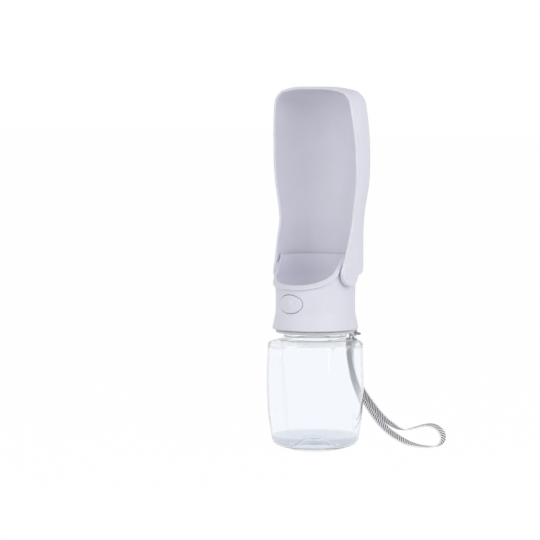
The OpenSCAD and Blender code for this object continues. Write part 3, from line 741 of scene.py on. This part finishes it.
def button_field(x, y, z):
    """The oval cap with its raised pad and flange, hollow behind for the spring and the stem."""
    r = np.hypot(x, y)
    oval = oval_field(x, z - BUTTON_Z, BUTTON_W, BUTTON_H)
    cap = both(both(oval, r - WAIST_R - BUTTON_PROUD, edge=0.8), y - BUTTON_BACK)
    pad = np.maximum(r - WAIST_R - BUTTON_PROUD - PAD_PROUD, y - PAD_BACK)
    pad = both(oval_field(x, z - BUTTON_Z, PAD_W, PAD_H), pad, edge=0.3)
    cap = either(cap, pad, fillet=0.3)
    flange = np.maximum(np.abs(y - FLANGE_Y) - FLANGE_HALF, np.abs(z - BUTTON_Z) - FLANGE_REACH)
    cap = np.minimum(cap, np.maximum(oval - FLANGE_W, flange))
    pocket = rod(x, z - BUTTON_Z, y, POCKET_R, POCKET_Y, 0)
    socket = rod(x, z - BUTTON_Z, y, SOCKET_R, SOCKET_Y, 0)
    return both(cap, -np.minimum(pocket, socket))


def floor_field(x, y, z):
    """The dished floor of the basin, with its outlet."""
    dish = closed(
        [
            (-40, FLOOR_Z, 0),
            (BOWL_R - 0.1, FLOOR_Z, 0.2),
            (BOWL_R - 0.1, FLOOR_Z + 2.2, 0.15),
            (BOWL_R - 0.35, FLOOR_Z + 2.2, 0.1),
            (BOWL_R - 2.4, FLOOR_Z + 1.3, 2.5),
            (0, FLOOR_Z + 1, 120),
            (-40, FLOOR_Z + 1, 0),
        ]
    )
    hole = np.hypot(x, y - OUTLET_Y) - OUTLET_R
    return both(outline_field(dish, np.hypot(x, y), z), -hole, edge=0.35)


def ring_field(x, y, z):
    """The collar round the neck, with the lug that holds the cord."""
    section = closed(
        [(RING_BORE, RING_Z, 0.2), (RING_R, RING_Z, 0.5), (RING_R, RING_TOP, 0.5), (RING_BORE, RING_TOP, 0.2)]
    )
    body = outline_field(section, np.hypot(x, y), z)
    # Out along the lug, and across it
    u = x * math.cos(LUG_ANGLE) + y * math.sin(LUG_ANGLE)
    v = -x * math.sin(LUG_ANGLE) + y * math.cos(LUG_ANGLE)
    lug = closed(
        [
            (RING_R - 2.5, RING_TOP - 0.8, 0),
            (RING_R - 2.5, RING_Z + 0.6, 0),
            (LUG_EYE - 2, RING_Z - LUG_DROP, 1.2),
            (LUG_OUT, RING_Z - LUG_DROP, 2),
            (LUG_OUT, RING_TOP - 0.8, 2),
        ]
    )
    lug = both(outline_field(lug, u, z), np.abs(v) - LUG_HALF, edge=0.6)
    body = either(body, lug, fillet=0.5)
    hole = np.hypot(u - LUG_EYE, z - RING_Z + LUG_EYE_DROP) - LUG_EYE_R
    return both(body, -np.maximum(hole, 20 - u), edge=0.45)


def ferrule_field(x, y, z):
    """The ferrule, with the slot that shows on its front and back."""
    u, v, w = np.abs(x - FERRULE[X]), np.abs(y - FERRULE[Y]), np.abs(z - FERRULE[Z])
    plan = both(u - FERRULE_HALF[X], v - FERRULE_HALF[Y], edge=1.2)
    body = both(plan, w - FERRULE_HALF[Z], edge=0.6)
    slot = both(u - FERRULE_SLOT_X, np.maximum(FERRULE_SLOT_Y - v, w - FERRULE_SLOT_Z), edge=0.15)
    return both(body, -slot, edge=0.2)


COARSER = 1.0
# Name, field, the lowest and highest corners of the grid, its step, the body, and the node replaced
MOULDED = [
    ("drinking_trough", trough_field, (-43, -12, 118), (43, 43, 267), 0.62, "trough", "trough"),
    ("head_case", head_field, (-33, -33, 86), (33, 33, 143), 0.5, "head", "head_shell"),
    ("push_button", button_field, (-13, -31, 99), (13, -20, 116), 0.34, "button", "button_cap"),
    ("basin_dish", floor_field, (-27, -27, 115), (27, 27, 120), 0.5, "head", "basin_floor"),
    ("strap_collar", ring_field, (-31, -31, 80), (31, 37, 89), 0.4, "strap", "strap_ring"),
    ("strap_ferrule", ferrule_field, (-2, 35, 71), (7.5, 41.5, 80), 0.22, "strap", "strap_crimp"),
]
pieces = {}
for name, field, low, high, step, body, node in MOULDED:
    pieces[name] = mesh_from_field(name, field, low, high, step * COARSER, body)
    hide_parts(node)
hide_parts("strap_webbing")
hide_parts("strap_cord")

# Bottle

BODY_PATH = [
    (0, 7, 0), (8.25, 7, 12), (15.3, 0, 1.2), (17.7, 0, 4), (31.2, 4.2, 7), (34.3, 24, 60),
    (35.55, 50, 200), (34.6, 79.2, 3.4), (27.3, 80.2, 0.6),
]
NECK_TOP = highest("bottle", Z)
NECK_R = 21.6
MOUTH_R = 19.6
THREAD_ROOT = 21
THREAD_FOOT = 89.6
THREAD_Z = 91.06
THREAD_DEPTH = 1.1
PITCH = 3
ROOT_W = 1.32
CREST_W = 0.66
RUN_OUT = math.radians(12)
NECK_PATH = [
    (26.8, 81, 0.4), (23.2, 82, 0.4), (23.2, 83.9, 0.4), (22.4, 84, 0.2), (22.4, 85.6, 0.3),
    (NECK_R, 85.7, 0.2), (NECK_R, THREAD_FOOT - 0.6, 0), (THREAD_ROOT, THREAD_FOOT, 0),
    (THREAD_ROOT, NECK_TOP, 0.6), (MOUTH_R, NECK_TOP, 0),
]
NECK_INSIDE = [(MOUTH_R, BODY_PATH[-2][1], 2), (MOUTH_R, NECK_TOP, 0)]
BOTTLE_WALL = 1.0
BOTTLE_SIDES = 224
BOTTLE_STEP = 1.6
THREAD_STEP = 0.25


def dense(points, longest):
    """The points with more between them, none further apart than longest."""
    out = [points[0]]
    for a, b in zip(points, points[1:]):
        n = max(1, math.ceil(np.linalg.norm(b - a) / longest))
        out += [a + (b - a) * k / n for k in range(1, n + 1)]
    return np.array(out)


def bottle_profile():
    """The section, from the base outside over the neck to the base inside, and where it has thread."""
    outer = rounded(BODY_PATH + NECK_PATH)
    inner = rounded(inset(BODY_PATH, BOTTLE_WALL)[:-1] + NECK_INSIDE)
    split = THREAD_FOOT - 0.3
    low = dense(outer[outer[:, 1] < split], BOTTLE_STEP)
    high = dense(outer[outer[:, 1] > split], THREAD_STEP)
    profile = np.vstack([low, high, dense(inner[::-1], BOTTLE_STEP)[1:]])
    is_thread = np.zeros(len(profile), bool)
    is_thread[len(low) : len(low) + len(high)] = True
    keep = np.concatenate([[True], spans(profile) > 1e-4])
    return profile[keep][1:-1], is_thread[keep][1:-1]


def thread_ridge(angle, z):
    """How far the thread stands out of the neck at each place."""
    off = np.abs(z - THREAD_Z - PITCH * angle / (2 * math.pi))
    ridge = np.clip((ROOT_W / 2 - off) / (ROOT_W / 2 - CREST_W / 2), 0, 1)
    run = np.minimum(angle, 2 * math.pi - angle) / RUN_OUT
    return THREAD_DEPTH * ridge * np.clip(run, 0, 1)


def bottle_mesh():
    """The profile turned about the axis, closed in the middle of the base outside and inside."""
    profile, is_thread = bottle_profile()
    sides = BOTTLE_SIDES
    angle = np.linspace(0, 2 * math.pi, sides, endpoint=False)[None]
    r = np.repeat(profile[:, :1], sides, axis=1)
    z = np.repeat(profile[:, 1:], sides, axis=1)
    r = r + thread_ridge(angle, z) * is_thread[:, None] * (r > THREAD_ROOT - 0.5)
    points = np.stack([r * np.cos(angle), r * np.sin(angle), z], axis=-1).reshape(-1, 3)
    faces = [tuple(f) for f in grid_faces(len(profile), sides)]
    start, end = len(points), len(points) + 1
    push_up = BODY_PATH[0][1]
    points = np.vstack([points, [(0, 0, push_up)], [(0, 0, push_up + BOTTLE_WALL)]])
    last = (len(profile) - 1) * sides
    faces += [(start, (k + 1) % sides, k) for k in range(sides)]
    faces += [(end, last + k, last + (k + 1) % sides) for k in range(sides)]
    return make_object("clear_bottle", points, faces, "bottle")


bottle = bottle_mesh()
bottle.visible_shadow = False
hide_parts("bottle")

# Return spring

WIRE_R = 0.35
WIRE_SIDES = 12
COIL_R = 3.6
TURNS = 6
ROWS_PER_TURN = 40
SPRING_FRONT = round(lowest("valve_spring", Y) + WIRE_R, 2)
SPRING_BACK = round(highest("valve_spring", Y) - WIRE_R, 2)
# Draws the end turns together, as on a ground spring
END_TURNS = 0.055


def spring_mesh():
    t = np.linspace(0, 1, TURNS * ROWS_PER_TURN + 1)
    ease = t - END_TURNS * np.sin(2 * math.pi * t)
    a = t * TURNS * 2 * math.pi
    y = SPRING_FRONT + (SPRING_BACK - SPRING_FRONT) * ease
    route = np.stack([COIL_R * np.cos(a), y, BUTTON_Z + COIL_R * np.sin(a)], axis=1)
    d = along(route)
    out = unit(np.stack([np.cos(a), 0 * a, np.sin(a)], axis=1))
    out = unit(out - d * (out * d).sum(axis=1, keepdims=True))
    w = np.linspace(0, 2 * math.pi, WIRE_SIDES, endpoint=False)
    section = np.stack([WIRE_R * np.cos(w), WIRE_R * np.sin(w)], axis=-1)
    sections = np.repeat(section[None], len(route), axis=0)
    return sweep("return_spring", route, out, np.cross(d, out), sections, "head")


spring = spring_mesh()
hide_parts("valve_spring")
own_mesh(spring)

# Nodes for materials; places in them are in metres


def material(name, color, rough, **sockets):
    made = bpy.data.materials.new(name)
    made.use_nodes = True
    shader = made.node_tree.nodes["Principled BSDF"]
    shader.inputs["Base Color"].default_value = (*color, 1)
    shader.inputs["Roughness"].default_value = rough
    for key, value in sockets.items():
        shader.inputs[key.replace("_", " ")].default_value = value
    return made, made.node_tree, shader


def noise(tree, scale, detail, stretch=(1, 1, 1)):
    """Noise fixed to the object, from 0 to 1, with scale as its number of patches in a metre."""
    coords = tree.nodes.new("ShaderNodeTexCoord")
    mapping = tree.nodes.new("ShaderNodeMapping")
    mapping.inputs["Scale"].default_value = stretch
    texture = tree.nodes.new("ShaderNodeTexNoise")
    texture.inputs["Scale"].default_value = scale
    texture.inputs["Detail"].default_value = detail
    tree.links.new(coords.outputs["Object"], mapping.inputs["Vector"])
    tree.links.new(mapping.outputs["Vector"], texture.inputs["Vector"])
    return texture.outputs["Fac"]


def ramp(tree, value, low, high, from_low=0.3, from_high=0.7):
    """From low to high as the value goes from from_low to from_high, which fit a noise."""
    node = tree.nodes.new("ShaderNodeMapRange")
    node.inputs["From Min"].default_value = from_low
    node.inputs["From Max"].default_value = from_high
    node.inputs["To Min"].default_value = low
    node.inputs["To Max"].default_value = high
    tree.links.new(value, node.inputs["Value"])
    return node.outputs["Result"]


def math_node(tree, operation, *values):
    node = tree.nodes.new("ShaderNodeMath")
    node.operation = operation
    for socket, value in zip(node.inputs, values):
        if isinstance(value, (int, float)):
            socket.default_value = value
        else:
            tree.links.new(value, socket)
    return node.outputs[0]


def vary_color(tree, shader, value, a, b):
    """The base colour goes from a to b with the value."""
    mix = tree.nodes.new("ShaderNodeMix")
    mix.data_type = "RGBA"
    mix.inputs["A"].default_value = (*a, 1)
    mix.inputs["B"].default_value = (*b, 1)
    tree.links.new(value, mix.inputs["Factor"])
    tree.links.new(mix.outputs["Result"], shader.inputs["Base Color"])
    return mix


def recolor(tree, shader, value, color):
    """The base colour goes from what it is so far to another with the value."""
    so_far = shader.inputs["Base Color"].links[0].from_socket
    mix = vary_color(tree, shader, value, (1, 1, 1), color)
    tree.links.new(so_far, mix.inputs["A"])


def bump(tree, shader, value, distance, strength):
    node = tree.nodes.new("ShaderNodeBump")
    node.inputs["Distance"].default_value = distance
    node.inputs["Strength"].default_value = strength
    tree.links.new(value, node.inputs["Height"])
    tree.links.new(node.outputs["Normal"], shader.inputs["Normal"])


def attribute(tree, name):
    node = tree.nodes.new("ShaderNodeAttribute")
    node.attribute_name = name
    return node.outputs["Fac"]


def linear(r, g, b):
    """A display colour, 0 to 255, as the shader takes it."""
    return tuple(((c / 255 + 0.055) / 1.055) ** 2.4 if c > 10 else c / 255 / 12.92 for c in (r, g, b))


# Materials


def plastic(name, color, rough, grain=0.00001, **sockets):
    """Moulded plastic: fine grain, faint cloudiness in its colour and uneven gloss."""
    made, tree, shader = material(name, color, rough, **sockets)
    cloud = ramp(tree, noise(tree, 60, 2), 0, 1)
    vary_color(tree, shader, cloud, tuple(c * 0.985 for c in color), tuple(min(c * 1.015, 1) for c in color))
    tree.links.new(ramp(tree, noise(tree, 240, 4), rough - 0.03, rough + 0.04), shader.inputs["Roughness"])
    bump(tree, shader, noise(tree, 2600, 2), grain, 0.35)
    return made


def height_and_radius(tree):
    """Metres above the ground and from the axis."""
    coords = tree.nodes.new("ShaderNodeTexCoord")
    split = tree.nodes.new("ShaderNodeSeparateXYZ")
    flat = tree.nodes.new("ShaderNodeVectorMath")
    flat.operation = "MULTIPLY"
    flat.inputs[1].default_value = (1, 1, 0)
    radius = tree.nodes.new("ShaderNodeVectorMath")
    radius.operation = "LENGTH"
    tree.links.new(coords.outputs["Object"], split.inputs["Vector"])
    tree.links.new(coords.outputs["Object"], flat.inputs[0])
    tree.links.new(flat.outputs["Vector"], radius.inputs[0])
    return split.outputs["Z"], radius.outputs["Value"]


# Heights and radii where the bottle's look changes
# Where the painted shade of the bottle's base fades out
FOOT_SHADE_Z = (9.5 * MM, 11.5 * MM)
FOOT_SHADE_R = (16 * MM, 21 * MM)
NECK_FADE_Z = (74.5 * MM, 78.5 * MM)
NECK_ALPHA = 0.2
# Painted shade: heights of the dark lines painted at the bead's edges, and their half widths
BEAD_EDGES = (80.8 * MM, 83.6 * MM)
PAINTED_LINE_HALF = (0.2 * MM, 0.5 * MM)
# How far from facing the camera the painted edge shade darkens the wall, from 0 to 1
EDGE_SHADE_FACING = (0.78, 0.97)


def clear_plastic():
    """Clear blown plastic, slightly wavy."""
    clear_of_groove_shade = linear(246, 250, 254)
    made, tree, shader = material("clear_plastic", clear_of_groove_shade, 0.02, Transmission_Weight=1.0, IOR=1.5)
    tree.links.new(ramp(tree, noise(tree, 30, 2), 0.0, 0.004), shader.inputs["Roughness"])
    bump(tree, shader, noise(tree, 22, 2, (1, 1, 0.35)), 0.0006, 0.25)
    # Painted shade: the base and the foot of the wall are painted greyer, standing in for the darker look
    # that the thick base gives by refraction
    height, radius = height_and_radius(tree)
    above_foot = ramp(tree, height, 0, 1, *FOOT_SHADE_Z)
    inside_foot = ramp(tree, radius, 1, 0, *FOOT_SHADE_R)
    clear_of_foot_shade = math_node(tree, "MAXIMUM", above_foot, inside_foot)
    vary_color(tree, shader, clear_of_foot_shade, linear(228, 232, 238), linear(250, 252, 255))
    # Painted shade: thin dark lines are painted at the edges of the bead and of the neck's foot, where the
    # clear plastic shows dark edges
    edges = [math_node(tree, "ABSOLUTE", math_node(tree, "SUBTRACT", height, z)) for z in BEAD_EDGES]
    painted_edge_lines = ramp(tree, math_node(tree, "MINIMUM", *edges), 1, 0, *PAINTED_LINE_HALF)
    recolor(tree, shader, painted_edge_lines, linear(140, 144, 150))
    # Painted shade: seen edge on, the way through the wall is longer, and the colour is painted greyer there
    facing = tree.nodes.new("ShaderNodeLayerWeight").outputs["Facing"]
    recolor(tree, shader, ramp(tree, facing, 0, 1, *EDGE_SHADE_FACING), linear(140, 150, 166))
    # The neck is fainter than the body, apart from the painted dark lines
    fade = ramp(tree, height, 1, NECK_ALPHA, *NECK_FADE_Z)
    tree.links.new(math_node(tree, "MAXIMUM", fade, painted_edge_lines), shader.inputs["Alpha"])
    absorbing = tree.nodes.new("ShaderNodeVolumeAbsorption")
    absorbing.inputs["Color"].default_value = (0.45, 0.52, 0.62, 1)
    absorbing.inputs["Density"].default_value = 9
    tree.links.new(absorbing.outputs["Volume"], tree.nodes["Material Output"].inputs["Volume"])
    return made


def silicone():
    """Soft, slightly cloudy seals."""
    made, tree, shader = material("silicone", linear(232, 230, 226), 0.5, Subsurface_Weight=0.2)
    shader.inputs["Subsurface Radius"].default_value = (0.002, 0.002, 0.002)
    cloud = ramp(tree, noise(tree, 200, 3), 0, 1)
    vary_color(tree, shader, cloud, linear(226, 224, 219), linear(238, 236, 232))
    bump(tree, shader, noise(tree, 1500, 2), 0.00002, 0.4)
    return made


def rubber():
    """Black rubber of the sliding seals."""
    made, tree, shader = material("seal_rubber", linear(42, 42, 46), 0.55)
    cloud = ramp(tree, noise(tree, 300, 3), 0, 1)
    vary_color(tree, shader, cloud, linear(38, 38, 41), linear(52, 52, 57))
    bump(tree, shader, noise(tree, 1800, 3), 0.00002, 0.5)
    return made


def steel():
    """Drawn steel, brushed along X."""
    made, tree, shader = material("steel", linear(196, 197, 200), 0.28, Metallic=1.0)
    tree.links.new(ramp(tree, noise(tree, 900, 3, (0.2, 1, 1)), 0.2, 0.4), shader.inputs["Roughness"])
    cloud = ramp(tree, noise(tree, 400, 3), 0, 1)
    vary_color(tree, shader, cloud, linear(188, 189, 192), linear(206, 206, 208))
    return made


def webbing_weave():
    """Pale woven threads with painted shade in the slanted grooves between the ribs, which stops short of the
    selvedge.
    """
    made, tree, shader = material("webbing_weave", linear(186, 187, 190), 0.8, Sheen_Weight=0.25)
    turns = math_node(tree, "MULTIPLY", attribute(tree, "ribs"), 2 * math.pi)
    groove_wave = ramp(tree, math_node(tree, "SINE", turns), 0, 1, -0.45, 0.45)
    clear_of_groove_shade = math_node(tree, "MAXIMUM", groove_wave, attribute(tree, "selvedge"))
    groove_shade_and_tone = math_node(tree, "MULTIPLY", clear_of_groove_shade, ramp(tree, noise(tree, 900, 4), 0.8, 1))
    # Painted shade: dark in the grooves between the ribs, pale on the ribs, with faint random tone
    vary_color(tree, shader, groove_shade_and_tone, linear(96, 96, 104), linear(250, 250, 252))
    bump(tree, shader, noise(tree, 4200, 3), 0.00008, 0.7)
    return made


def cord_fibre():
    """Soft fibres of the thin cord."""
    made, tree, shader = material("cord_fibre", linear(150, 150, 156), 0.75, Sheen_Weight=0.2)
    cloud = ramp(tree, noise(tree, 1500, 3), 0, 1)
    vary_color(tree, shader, cloud, linear(128, 128, 134), linear(176, 176, 181))
    bump(tree, shader, noise(tree, 5000, 3), 0.00005, 0.6)
    return made


def paint(piece, look):
    piece.data.materials.clear()
    piece.data.materials.append(look)


lavender_look = plastic("lavender_plastic", linear(219, 219, 230), 0.42)
inner_look = plastic("inner_plastic", linear(205, 205, 214), 0.45)
ferrule_look = plastic("crimp_plastic", linear(158, 159, 166), 0.45, 0.00002)
collar_look = plastic("ring_plastic", linear(230, 230, 236), 0.38, Transmission_Weight=0.25, IOR=1.45)
silicone_look = silicone()
rubber_look = rubber()
steel_look = steel()
SEALS = ["neck_seal", "vent_valve", "inlet_seal", "outlet_seal", "basin_gasket", "poppet_seal"]
INNER = ["inner_cap", "valve_body", "gland_retainer", "end_cap", "valve_stem"]
for name in ("drinking_trough", "head_case", "push_button", "basin_dish"):
    paint(pieces[name], lavender_look)
paint(pieces["strap_collar"], collar_look)
paint(pieces["strap_ferrule"], ferrule_look)
paint(strap, webbing_weave())
paint(cord, cord_fibre())
paint(bottle, clear_plastic())
paint(spring, steel_look)
for name in INNER:
    paint(nodes[name], inner_look)
for name in SEALS:
    paint(nodes[name], silicone_look)
for name in ("stem_seal", "end_cap_seal"):
    paint(nodes[name], rubber_look)
for name in ("valve_screws", "poppet_clip"):
    paint(nodes[name], steel_look)

# Floor, world and lamps

FLOOR_REACH = 6000
FLOOR_GREY = 0.95
FLOOR_SEEN = 0.985
WORLD_LIGHT = 0.48
LAMPS_AIM = Vector((0, 0, 0.13))
# Name, degrees to the right of the camera's side, height, distance, size, power and seen in gloss
LAMPS = [
    ("right_box", 48, 0.55, 1.3, (0.7, 1.1), 6.5, False),
    ("left_box", -56, 0.5, 1.3, (0.7, 1.1), 4.5, False),
    ("front_box", 8, 1.2, 1.6, (1.0, 0.8), 4, False),
    ("right_strip", 32, 0.35, 1.2, (0.03, 1.6), 0.6, True),
    ("left_strip", -92, 0.35, 1.2, (0.03, 1.6), 0.6, True),
]


def plain_rays(tree):
    """1 for what the camera, gloss and glass see, and 0 for the light that falls on the object."""
    rays = tree.nodes.new("ShaderNodeLightPath").outputs
    seen = math_node(tree, "MAXIMUM", rays["Is Camera Ray"], rays["Is Glossy Ray"])
    return math_node(tree, "MAXIMUM", seen, rays["Is Transmission Ray"])


def floor_white():
    """A matt surface that the camera, gloss and glass see as nearly plain white."""
    made = bpy.data.materials.new("floor_white")
    made.use_nodes = True
    tree = made.node_tree
    tree.nodes.clear()
    out = tree.nodes.new("ShaderNodeOutputMaterial")
    matt = tree.nodes.new("ShaderNodeBsdfDiffuse")
    matt.inputs["Color"].default_value = (FLOOR_GREY, FLOOR_GREY, FLOOR_GREY, 1)
    glow = tree.nodes.new("ShaderNodeEmission")
    glow.inputs["Color"].default_value = (1, 1, 1, 1)
    mix = tree.nodes.new("ShaderNodeMixShader")
    tree.links.new(math_node(tree, "MULTIPLY", plain_rays(tree), FLOOR_SEEN), mix.inputs["Fac"])
    tree.links.new(matt.outputs[0], mix.inputs[1])
    tree.links.new(glow.outputs[0], mix.inputs[2])
    tree.links.new(mix.outputs[0], out.inputs["Surface"])
    return made


def add_floor():
    corners = [(x * FLOOR_REACH, y * FLOOR_REACH, 0) for x, y in ((-1, -1), (1, -1), (1, 1), (-1, 1))]
    floor = make_object("floor", corners, [(0, 1, 2, 3)])
    floor.data.materials.append(floor_white())


def add_world():
    world = bpy.data.worlds.new("studio")
    scene.world = world
    world.use_nodes = True
    tree = world.node_tree
    back = tree.nodes["Background"]
    back.inputs["Color"].default_value = (1, 1, 1, 1)
    tree.links.new(ramp(tree, plain_rays(tree), WORLD_LIGHT, 1, 0, 1), back.inputs["Strength"])


def add_lamp(name, turn, height, distance, size, power, in_gloss):
    data = bpy.data.lights.new(name, "AREA")
    data.shape = "RECTANGLE"
    data.size, data.size_y = size
    data.energy = power
    lamp = bpy.data.objects.new(name, data)
    lamp.visible_glossy = in_gloss
    lamp.visible_transmission = False
    scene.collection.objects.link(lamp)
    a = AZIMUTH + math.radians(turn)
    lamp.location = (math.sin(a) * distance, -math.cos(a) * distance, height)
    lamp.rotation_euler = (LAMPS_AIM - lamp.location).to_track_quat("-Z", "Y").to_euler()


add_floor()
add_world()
for lamp in LAMPS:
    add_lamp(*lamp)
